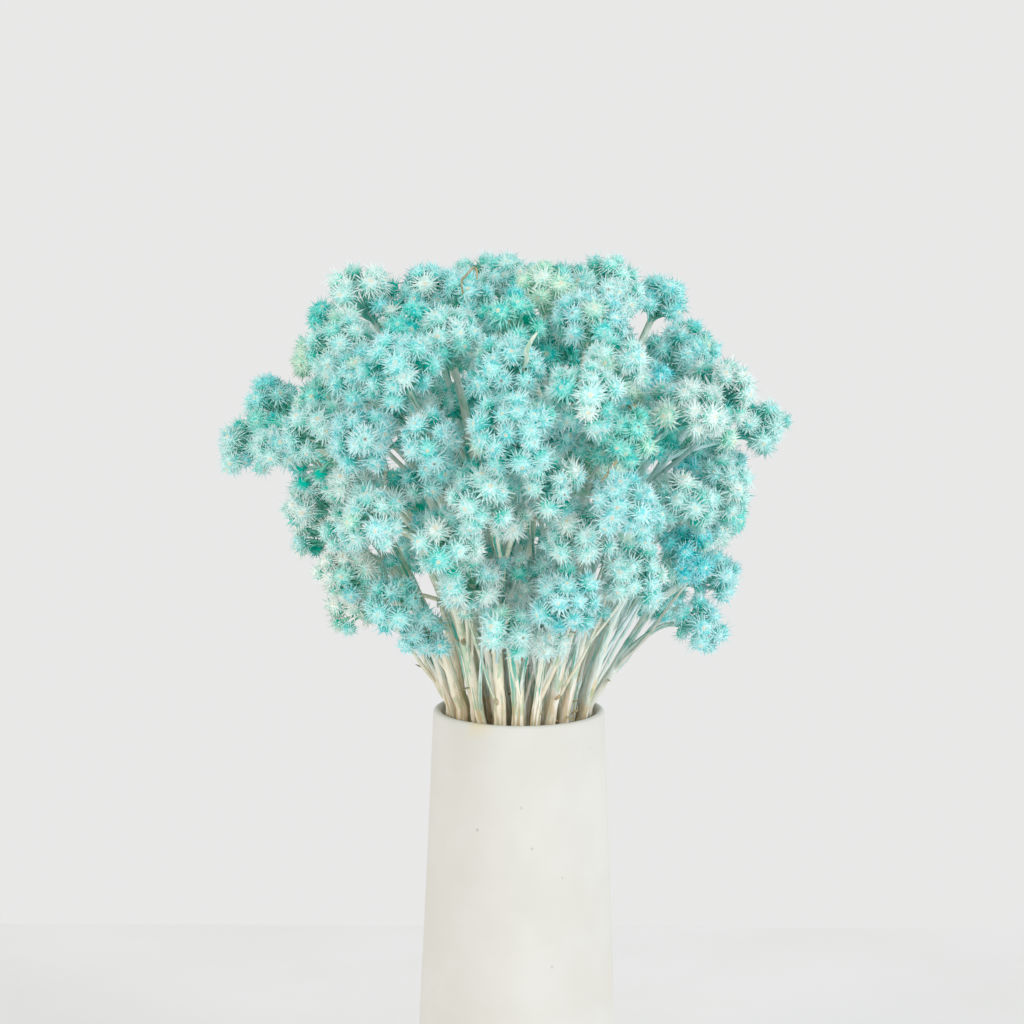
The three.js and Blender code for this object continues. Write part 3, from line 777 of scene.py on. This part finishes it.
def sideHeadPlaces(centre, axis, radius, tag):
    # a few lower heads beside the stem's end, on the side that looks out of the bouquet
    number = np.arange(heads["sideHeads"])
    away = unit(centre - layout["heart"] * upright)
    side = unit(np.cross(axis, away) + 1e-6)
    turn = math.radians(heads["sideTurn"]) * (2 * (number + draw(tag + 20, number)) / len(number) - 1)
    across = turnedWays(np.cross(side, axis), side, turn)
    back = radius * between(heads["sideBack"], tag + 21, number)[:, None]
    reach = radius * between(heads["sideOut"], tag + 22, number)[:, None]
    place = centre - back * axis + reach * across
    place[:, 2] = np.maximum(place[:, 2], centre[2] - heads["sideDrop"] * radius)
    ahead, outwards, rise = heads["sideFacing"]
    facing = unit(across + ahead * axis + outwards * away + rise * upright)
    size = heads["size"] * heads["sideSize"] * (1 + heads["sizeSpread"] * spread(tag + 23, number))
    return place, facing, size


def headFrames(facing):
    # two directions across each head
    side = unit(np.cross(facing, [0.21, 0.33, 0.92]))
    return side, np.cross(facing, side)


def headRays(place, facing, size, tags):
    # each ray is a slim closed spike: three points round its root inside the core, and a point outside; the
    # rays follow a golden spiral from the middle of the head to its underside
    count = heads["rays"]
    ray = np.arange(count)
    low, high = (math.cos(math.radians(edge)) for edge in heads["rayEdges"])
    polar = np.arccos(low + (high - low) * (ray + 0.5) / count)
    tag = tags[:, None]
    grown = heads["shortest"] + (1 - heads["shortest"]) * smoothStep(np.degrees(polar), *heads["grown"])
    reach = size[:, None] * grown * (1 + heads["lengthSpread"] * spread(tag + 0.7, ray))
    rim = turnedWays(*headFrames(facing), ray * goldenAngle + 2 * math.pi * draw(tag, 0.5))
    direction = np.sin(polar)[:, None] * rim + np.cos(polar)[:, None] * facing[:, None]
    across = unit(np.cross(facing[:, None], direction))
    upper = np.cross(direction, across)
    root = place[:, None] + heads["rayRoot"] * size[:, None, None] * direction
    lean = heads["rayLean"] * size[:, None]
    aside, above = (lean * spread(tag + shift, ray) for shift in (0.2, 0.4))
    lean = aside[..., None] * across + above[..., None] * upper
    tip = place[:, None] + reach[..., None] * direction + lean
    width, depth = heads["rayWidth"] * across, heads["rayDepth"] * upper
    points = np.stack([root + width, root + depth, root - width, tip], axis=2)
    spike = np.array([[0, 1, 3], [1, 2, 3], [2, 0, 3], [0, 2, 1]])
    # painted shade: the underside rays get a lower along value at their tips, so the material paints them in
    # its dark root and core colours
    under = smoothStep(np.degrees(polar), *heads["underside"])
    along = np.stack([0 * under + heads["rootAlong"]] * 3 + [1 - heads["underShade"] * under], axis=1)
    return *copies(points.reshape(-1, 4, 3), spike), np.tile(along.ravel(), len(place))


def headCores(place, facing, size):
    # the closed body that carries the rays: a few rings along the facing and a point over each end, with the
    # button of disc florets on its top
    sides = heads["coreSides"]
    rim = turnedWays(*headFrames(facing), fullTurn(sides))
    place, facing, size = place[:, None], facing[:, None], size[:, None, None]
    rings = [place + size * (out * rim + up * facing) for out, up in heads["coreRings"]]
    ends = [place + size * up * facing for up in heads["coreEnds"]]
    count = len(rings) * sides
    points, triangles = copies(np.concatenate(rings + ends, axis=1), closedTriangles(len(rings), sides)[0])
    each = len(triangles) // len(place)
    kinds = np.tile(np.arange(each) >= each - sides, len(place))
    button = np.tile(np.arange(count + 2) == count + 1, len(place))
    # the core's low along values make the material paint it dark teal: painted shade inside the head
    along = np.tile(np.repeat(heads["coreAlong"], (sides,) * len(rings) + (1, 1)), len(place))
    return points, triangles, kinds, button, along


def headStalks(place, facing, size, line, places, radius, tag):
    # the thin stalks that fan out from the stem's end, each an arc with a ring round each of its points, and
    # its radius grows to a cup under the head
    number = np.arange(len(place))
    far = length(place - line[-1])[:, 0] * stems["stalkBack"]
    back = np.maximum(far, stems["stalkRoot"] * radius * draw(tag + 5, number))
    root = pointsAt(np.maximum(places[-1] - back, min(stems["stalkLowest"], places[-1])), places, line)
    end = place - stems["stalkSink"] * size[:, None] * facing
    leaving = unit(unit(line[-1] - line[-3]) + stems["stalkBend"] * unit(end - root))
    bend = root + stems["stalkBend"] * length(end - root) * leaving
    t = np.linspace(0, 1, stems["stalkRows"])[:, None, None]
    line = arc(root, bend, end, t)
    way = unit(np.gradient(line, axis=0))
    side = unit(np.cross(way, [0.4, 0.7, 0.1]))
    ring = turnedWays(side, np.cross(way, side), fullTurn(stems["stalkSides"]))
    width = stems["stalk"] * (1 + stems["stalkSpread"] * draw(tag + 6, number))
    swell = 1 + (stems["cup"] / stems["stalk"] - 1) * smoothStep(t[:, :, 0], stems["cupFrom"], 1)
    rings = (line[:, :, None] + (width * swell)[..., None, None] * ring).transpose(1, 0, 2, 3)
    return closeTubes(rings, stems["stalkRow"] * np.arange(len(t)))


def headDyes(dye, tag, number):
    # most heads take the tuft's own dye, a few take another's, and each a little more or less of it;
    # the last value says how far the dye gathers in the head, how strongly painted shade darkens its ray
    # roots and how strong its blotches are: the paler the head, the less
    table = np.array([screenColour(text) for text in heads["dyes"].values()])
    own = table[list(heads["dyes"]).index(dye)]
    stray = table[np.floor(draw(tag + 8, number) * len(table)).astype(int)]
    share = heads["strayBlend"] * (draw(tag + 9, number) < heads["strayShare"])[:, None]
    colours = own * (1 - share) + stray * share
    colours[:, :3] *= 1 + heads["dyeSpread"] * spread(tag + 10, number)[:, None]
    colours[:, 3] = np.clip(heads["uptake"] - colours[:, 0], heads["leastUptake"], 1)
    discs = np.array([screenColour(text) for text in heads["discs"]])
    which = np.floor(draw(tag + 11, number) ** heads["discLean"] * len(discs)).astype(int)
    dark = draw(tag + 12.5, number) < heads["darkShare"]
    return np.minimum(colours, 1), np.where(dark[:, None], screenColour(heads["darkDisc"]), discs[which])


# Dry leaves: curled stubs that stayed on the stems.

dryLeaf = {
    "rows": 7, "perStem": 4, "lengths": (3.5, 8.0), "width": 0.2, "thickness": 0.28, "cup": 0.5,
    "outline": (0.12, 0.83), "thinning": 1.2, "curl": (0.5, 2.2), "slant": 0.5, "ahead": 2,
    "lowest": 12, "highest": 0.55, "crowding": 1.5, "sink": 0.8,
    "tan": "A88B5C", "olive": "7C7E58", "pale": "C2BB9E",
    "mottle": (180.0, 1400.0, 0.6), "surface": (0.6, 0.0004, 0.8),
    "bitStep": 1.2, "bitSides": 6, "bitThinFrom": 0.7, "bitEnds": 0.5,
}

# Dry bits caught among the heads: the chain that each grows from, its radius, finish and curve.
dryBits = {
    "spray_crown_2": ((1, 0.65, 1, (
        (-28, -55, 453), (-26, -59, 457), (-22, -61, 461), (-20.8, -62, 459), (-20.8, -61.5, 455.5),
    )),),
    "spray_shoulder_4": ((0, 1.1, 0, (
        (1.3, -110, 419), (2.1, -117, 426), (4.2, -119, 431), (6.6, -116, 434),
    )),),
    "spray_shoulder_6": ((1, 1.3, 1, ((51, -82, 399), (52, -87, 397), (54.4, -87, 392))),),
    "spray_front_5": ((1, 1.0, 1, ((36, -112, 367.5), (39.5, -116, 373.3), (42.6, -114, 377))),),
}


def dryBit(line, radius, corners, tag):
    # a thin curled tube that leaves the nearest point of its stem and thins to both ends
    corners = np.array(corners, float)
    root = line[np.argmin(length(line - corners[0])[:, 0])]
    curve, along = smoothLine(np.concatenate([[root], corners]), dryLeaf["bitStep"])
    thin = dryLeaf["bitEnds"] * radius
    radii = np.interp(along / along[-1], [0, dryLeaf["bitThinFrom"], 1], [thin, radius, thin])
    return barkTube(curve, along, radii, dryLeaf["bitSides"], tag)


def dryLeaves(place, way, lift, size, curl):
    # each leaf is a flat four-sided tube along part of a circle: its sine along way, and what its cosine
    # lacks along lift; it is widest in the middle and cupped across
    t = np.linspace(0, 1, dryLeaf["rows"])[:, None, None]
    turn = curl[:, None] * t
    line = place + (size / curl)[:, None] * (np.sin(turn) * way + (1 - np.cos(turn)) * lift)
    across = np.cross(way, lift)
    normal = np.cos(turn) * lift - np.sin(turn) * way
    first, share = dryLeaf["outline"]
    width = dryLeaf["width"] * size[:, None] * np.sin(math.pi * (first + share * t))
    thin = dryLeaf["thickness"] / 2 * (dryLeaf["thinning"] - t) * normal
    cup = dryLeaf["cup"] * width * normal
    aside = width * across
    rings = np.stack([line + aside + cup, line + thin, line - aside + cup, line - thin], axis=2)
    return closeTubes(rings.transpose(1, 0, 2, 3), np.arange(len(t)))


def leafStubs(line, places, radii, tag):
    # where the stubs sit on a main stem: between the mouth and the middle of its visible stretch
    number = np.arange(dryLeaf["perStem"])
    mouthAt = np.interp(vase["height"], line[:, 2], places)
    low = mouthAt - dryLeaf["lowest"]
    high = mouthAt + dryLeaf["highest"] * (places[-1] - mouthAt)
    at = low + (high - low) * draw(tag + 12, number) ** dryLeaf["crowding"]
    middle = pointsAt(at, places, line)
    way = unit(pointsAt(at + dryLeaf["ahead"], places, line) - middle)
    turn = 2 * math.pi * draw(tag + 13, number)[:, None]
    side = unit(np.cross(way, [0.3, 1, 0.2]))
    out = side * np.cos(turn) + np.cross(way, side) * np.sin(turn)
    place = middle + dryLeaf["sink"] * np.interp(at, places, radii)[:, None] * out
    size = between(dryLeaf["lengths"], tag + 14, number)
    curl = between(dryLeaf["curl"], tag + 15, number)
    outwards = unit(out + dryLeaf["slant"] * way * spread(tag + 16, number)[:, None])
    lift = unit(np.cross(np.cross(outwards, way), outwards)) * np.sign(spread(tag + 17, number))[:, None]
    return dryLeaves(place, outwards, lift, size, curl)


# Finishes of the sprays.

def feltedBark():
    # pale felted bark: the dye lies in long streaks, sandy patches show through, the old foot is brown, and
    # painted shade darkens the grooves between the fibres
    material, tree, place = newMaterial("feltedBark")
    cell = addNode(tree, "SeparateXYZ", {"Vector": addNode(tree, "UVMap", uv_map="surface")["UV"]})
    turn = multiply(tree, cell["X"], 2 * math.pi)
    wrapped = addNode(tree, "CombineXYZ", {
        "X": calculate(tree, "COSINE", turn), "Y": calculate(tree, "SINE", turn),
        "Z": multiply(tree, cell["Y"], stems["streaksPerMetre"]),
    })["Vector"]
    tint = addNode(tree, "Attribute", attribute_name="tint")
    apart = addNode(tree, "VectorMath", {0: wrapped, 1: tint["Alpha"]}, operation="ADD")["Vector"]
    streaks = addNoise(tree, apart, stems["streakScale"], 3.0, 0.6, 0.3)
    fibres = addNoise(tree, apart, stems["fibreScale"], 3.0, 0.6)
    amount = calculate(tree, "FRACT", multiply(tree, tint["Alpha"], stems["uptakeTurns"]))
    taken = calculate(tree, "MULTIPLY_ADD", amount, stems["uptakeShare"], streaks)
    patches, felt = addMottle(tree, place, *stems["mottle"])
    level = addNode(tree, "SeparateXYZ", {"Vector": place})["Z"]
    sprayed = rampMask(tree, level, stems["dyeFrom"], stems["dyeTo"])
    bare = rampMask(tree, level, stems["dyeTo"], stems["dyeFrom"])
    sandy = multiply(tree, multiply(tree, rampMask(tree, taken, 0.54, 0.42), patches), bare)
    colour = mixColours(tree, sandy, tint["Color"], stems["sand"])
    colour = mixColours(tree, rampMask(tree, taken, 0.62, 0.72), colour, stems["teal"])
    drawn = addNode(tree, "VectorMath", {0: place, 1: stems["stainDrawn"]}, operation="MULTIPLY")["Vector"]
    stained = rampMask(tree, addNoise(tree, drawn, stems["stainScale"], 3.0), 0.53, 0.62)
    # painted shade: the low grooves between the fibres are darkened
    grooveShadeMask = rampMask(tree, fibres, 0.4, 0.3)
    for mask, name in ((sprayed, "dyed"), (grooveShadeMask, "grooveShade"), (stained, "stain")):
        colour = mixColours(tree, mask, colour, stems[name], "MULTIPLY")
    wander = calculate(tree, "MULTIPLY_ADD", patches, stems["oldWander"], level)
    old = rampMask(tree, wander, stems["oldTo"], stems["oldFrom"])
    old = multiply(tree, old, rampMask(tree, streaks, 0.38, 0.56))
    colour = mixColours(tree, old, colour, stems["brown"])
    return finish(material, colour, calculate(tree, "ADD", fibres, felt), *stems["surface"])


def dyedRaysPaintedShade():
    # the dye gathered at each ray's root and worn off towards its pale tip, with painted shade that darkens
    # the head's core, the ray roots and the underside rays
    material, tree, place = newMaterial("dyedRaysPaintedShade")
    dye = addNode(tree, "Attribute", attribute_name="dye")
    along = addNode(tree, "Attribute", attribute_name="along")["Fac"]
    grain = addMottle(tree, place, *heads["mottle"])[1]
    tufted = rampMask(tree, grain, 0.42, 0.58)
    # painted shade: where along is low (the core and the underside rays) the colour is darkened to dark teal,
    # and towards the ray roots it is darkened with the root colour, which also stands for the dye that
    # gathered there
    colour = mixColours(tree, rampMask(tree, along, 0.3, 0.0), dye["Color"], heads["deepShade"], "MULTIPLY")
    rootShadeMask = calculate(tree, "SUBTRACT", rampMask(tree, along, 0.85, 0.3), tufted)
    pooledDyeAndShade = multiply(tree, rootShadeMask, dye["Alpha"])
    colour = mixColours(tree, pooledDyeAndShade, colour, heads["root"], "MULTIPLY")
    worn = multiply(tree, rampMask(tree, along, 0.45, 1.1), tufted)
    colour = mixColours(tree, worn, colour, heads["tip"])
    blots = rampMask(tree, addNoise(tree, place, heads["blotScale"], 2.5), 0.54, 0.6)
    colour = mixColours(tree, multiply(tree, blots, dye["Alpha"]), colour, heads["blotch"], "MULTIPLY")
    return finish(material, colour, grain, *heads["surface"])


def discFlorets():
    # a button of tiny florets, cream to tan, some taken by the dye, with the gaps between the florets
    # darkened and warmed as painted shade
    material, tree, place = newMaterial("discFlorets")
    dye = addNode(tree, "Attribute", attribute_name="dye")["Color"]
    cells = addNode(tree, "TexVoronoi", {"Vector": place, "Scale": heads["floretScale"]})["Distance"]
    # painted shade: the colour is darkened in the low gaps between the florets
    colour = mixColours(tree, rampMask(tree, cells, 0.35, 0.75), dye, heads["between"], "MULTIPLY")
    return finish(material, colour, cells, *heads["discSurface"], invert=True)


def curledLeaf():
    # brittle leaf, tan and olive in patches
    material, tree, place = newMaterial("curledLeaf")
    patches, grain = addMottle(tree, place, *dryLeaf["mottle"])
    colour = mixColours(tree, patches, dryLeaf["tan"], dryLeaf["olive"])
    colour = mixColours(tree, rampMask(tree, grain, 0.48, 0.6), colour, dryLeaf["pale"])
    return finish(material, colour, grain, *dryLeaf["surface"])


stemFinishes = [feltedBark(), curledLeaf()]
headFinishes = [dyedRaysPaintedShade(), discFlorets()]


# Sprays: for each one a piece of stems and stalks and a piece of heads.

def stemTint(index, tufts, tag):
    # creamy barks are likelier on the left and pale blue ones on the right; the last value shifts the streaks
    lean = np.clip(np.mean([tuft[0] for tuft in tufts]) / stems["leanReach"], -1, 1)
    barks = stems["barks"]
    pick = int(np.clip((draw(index, 60) + stems["barkLean"] * lean) * len(barks), 0, len(barks) - 1))
    return np.array([*screenColour(barks[pick])[:3], stems["shiftSpan"] * draw(tag, 61)])


def tubeRadii(index, line, places, main):
    # a main stem thins evenly from the mouth up, and a twig flares where it leaves
    if not main:
        return stems["twig"] * (1 + stems["flare"] * np.exp(-places / stems["flareReach"]))
    base = between(layout["thickness"], index, thicknessDraw)
    mouthAt = np.interp(layout["mouthLevel"], line[:, 2], places)
    grown = np.clip((places - mouthAt) / (places[-1] - mouthAt), 0, 1)
    return base + (stems["tip"] - base) * grown


def stalkTint(tint, dye):
    # the stalks under the heads took up the tuft's dye, and the root colour darkens them further as painted
    # shade under the heads
    own, root = (np.array(screenColour(text)[:3]) for text in (heads["dyes"][dye], heads["root"]))
    share = stems["stalkDyeAndShade"]
    return np.append(tint[:3] * (1 - share + share * own * root), tint[3])


def gather(parts, points, triangles, **others):
    # adds the arrays of one body to those of a piece, its triangles counted on from the points before it
    start = sum(len(one) for one in parts.get("points", ()))
    for key, value in {"points": points, "triangles": triangles + start, **others}.items():
        parts.setdefault(key, []).append(value)


def addBark(bark, tube, kind, tint):
    # one closed tube of bark (kind 0) or dry leaf (kind 1)
    points, triangles, uv = tube
    kinds = np.full(len(triangles), kind)
    gather(bark, points, triangles, uv=uv, kinds=kinds, tint=np.tile(tint, (len(points), 1)))


def addHeads(bloom, place, facing, size, dye, tag):
    # the rays and cores of some heads, each core's last point in its disc's colour
    number = np.arange(len(place))
    dyes, discs = headDyes(dye, tag, number)
    points, triangles, along = headRays(place, facing, size, tag * 31 + number * 1.7)
    own = np.repeat(dyes, len(points) // len(place), axis=0)
    flat = np.ones(len(triangles), bool)
    gather(bloom, points, triangles, along=along, kinds=0 * flat, dye=own, flat=flat)
    points, triangles, kinds, button, along = headCores(place, facing, size)
    own, middle = (np.repeat(one, len(points) // len(place), axis=0) for one in (dyes, discs))
    own = np.where(button[:, None], middle, own)
    gather(bloom, points, triangles, along=along, kinds=kinds, dye=own, flat=np.zeros(len(triangles), bool))


def addStraggler(bark, bloom, stem, at, dye, tag, j):
    # one head with its stalk, away from its tuft's middle
    line, places, centre, radius, tint = stem
    place = np.array([at], float)
    facing = unit(place - centre)
    size = np.array([heads["size"] * (heads["loneSize"] + heads["loneSpread"] * draw(tag, j + 40))])
    stalks = headStalks(place, facing, size, line, places, radius, tag + j)
    addBark(bark, stalks, 0, stalkTint(tint, dye))
    addHeads(bloom, place, facing, size, dye, tag + 0.13 * (j + 1))


def addShoot(bark, bloom, curve, out, tint, dye, tag):
    # a side shoot with the one head at its end
    along = distances(curve)
    radii = np.interp(along, [0, along[-1]], stems["shootRadius"])
    addBark(bark, barkTube(curve, along, radii, stems["shootSides"], tag), 0, tint)
    outwards, rise = stems["shootFacing"]
    facing = unit(unit(curve[-1] - curve[-2]) + outwards * out + rise * upright)
    size = heads["size"] * (stems["shootHead"] + stems["shootHeadSpread"] * draw(tag, 3))
    place = curve[-1] + stems["shootHeadLift"] * size * facing
    addHeads(bloom, place[None], facing[None], np.array([size]), dye, tag)


def addSpray(index, name, tufts):
    # the spray's main stem and twigs, each with its heads, and what else grew on them
    bark, bloom = {}, {}
    for k, chain in enumerate(chain for chain in plan["chains"] if chain["spray"] == index):
        tag = index * tuftDraw + k
        radius, dye = chain["radius"], chain["dye"]
        tint = stemTint(index, tufts, tag)
        corners, centre, axis = chainLine(chain, k == 0)
        line, places = smoothLine(corners, stems["rowStep"])
        radii = tubeRadii(index, line, places, k == 0)
        sides = stems["twigSides" if k else "sides"]
        addBark(bark, barkTube(line, places, radii, sides, tag), 0, tint)
        tuft, lower = (where(centre, axis, radius, tag) for where in (headPlaces, sideHeadPlaces))
        place, facing, size = (np.concatenate(pair) for pair in zip(tuft, lower))
        addBark(bark, headStalks(place, facing, size, line, places, radius, tag), 0, stalkTint(tint, dye))
        addHeads(bloom, place, facing, size, dye, tag)
        stem = line, places, centre, radius, tint
        own = [one for one in stragglers.get(name, ()) if one[0] == k]
        for j, (_, *at, strayDye) in enumerate(own):
            addStraggler(bark, bloom, stem, at, strayDye, tag, j)
        for number, thick, kind, corners in dryBits.get(name, ()):
            if number == k:
                addBark(bark, dryBit(line, thick, corners, tag), kind, tint)
        if k > 0:
            continue
        addBark(bark, leafStubs(line, places, radii, tag), 1, tint)
        for j, (curve, out) in enumerate(lowShoots(line, places, tag)):
            shootTag = tag + 0.37 * (j + 1)
            shootTint = stemTint(index + 100 * (j + 1), tufts, shootTag)
            addShoot(bark, bloom, curve, out, shootTint, dye, shootTag)
    total = 0
    for parts, end, materials in ((bark, "_stem", stemFinishes), (bloom, "_heads", headFinishes)):
        joined = {key: np.concatenate(value) for key, value in parts.items()}
        settleIn(makePiece(name + end, materials, **joined), name)
        total += len(joined["triangles"])
    return total


print("sprays made:", sum(addSpray(index, *spray) for index, spray in enumerate(sprays)), "triangles")


# Table and light: a pale table whose far edge shows behind the vase, in soft white light.

stage = {
    "backEdge": 412, "width": 6000, "depth": 3400, "thickness": 30, "edge": 4, "edgeRows": 6,
    "paint": "E8E8E7", "grain": "E5E5E3", "mottle": (6.0, 260.0, 0.5), "surface": (0.1, 0.0005, 0.6),
    "sky": (0.757, 0.757, 0.752, 1.0), "gamma": 1.3,
    "lamps": (
        ("softbox", (2.4, -1.65, 1.15), 1.3, 45.0, (0.9, 0.96, 1.0)),
        ("fill", (-2.2, -1.9, 0.95), 1.2, 27.0, (0.99, 0.96, 0.9)),
    ),
    "lampAim": (0, 0, 0.3),
}


def addTable():
    # a slab whose section is carried across: a rounded back edge, the top, and the underside
    bend = np.linspace(0, math.pi / 2, stage["edgeRows"])
    edge, back, low = stage["edge"], stage["backEdge"], -stage["thickness"]
    front = back - stage["depth"]
    top = np.stack([back - edge + edge * np.cos(bend), edge * (np.sin(bend) - 1)], axis=1)
    section = np.concatenate([[[back, low]], top, [[front, 0], [front, low]]])
    count = len(section)
    points = np.concatenate([
        np.column_stack([np.full(count, side * stage["width"] / 2), section]) for side in (-1, 1)
    ])
    fan = np.arange(1, count - 1)
    caps = np.stack([0 * fan, fan + 1, fan], axis=1)
    faces = np.concatenate([gridTriangles(2, count)[0], caps, caps[:, ::-1] + count])
    material, tree, place = newMaterial("paintedTable")
    patches, height = addMottle(tree, place, *stage["mottle"])
    colour = mixColours(tree, patches, stage["paint"], stage["grain"])
    table = makePiece("table", [finish(material, colour, height, *stage["surface"])], points, faces)
    table.data.shade_flat()


def addLight():
    # an even pale room, and two large lamps in front that face the bouquet
    world = bpy.data.worlds.new("softRoom")
    world.use_nodes = True
    sky = world.node_tree.nodes["Background"]
    sky.inputs["Color"].default_value = stage["sky"]
    sky.inputs["Strength"].default_value = 1.0
    scene.world = world
    for name, place, size, power, colour in stage["lamps"]:
        data = bpy.data.lights.new(name, "AREA")
        data.color, data.size, data.energy = colour, size, power
        lamp = addObject(name, data)
        lamp.location = place
        aim = Vector(stage["lampAim"]) - Vector(place)
        lamp.rotation_euler = aim.to_track_quat("-Z", "Y").to_euler()


addTable()
addLight()
scene.view_settings.view_transform = "Standard"
scene.view_settings.gamma = stage["gamma"]
print("table and light set")
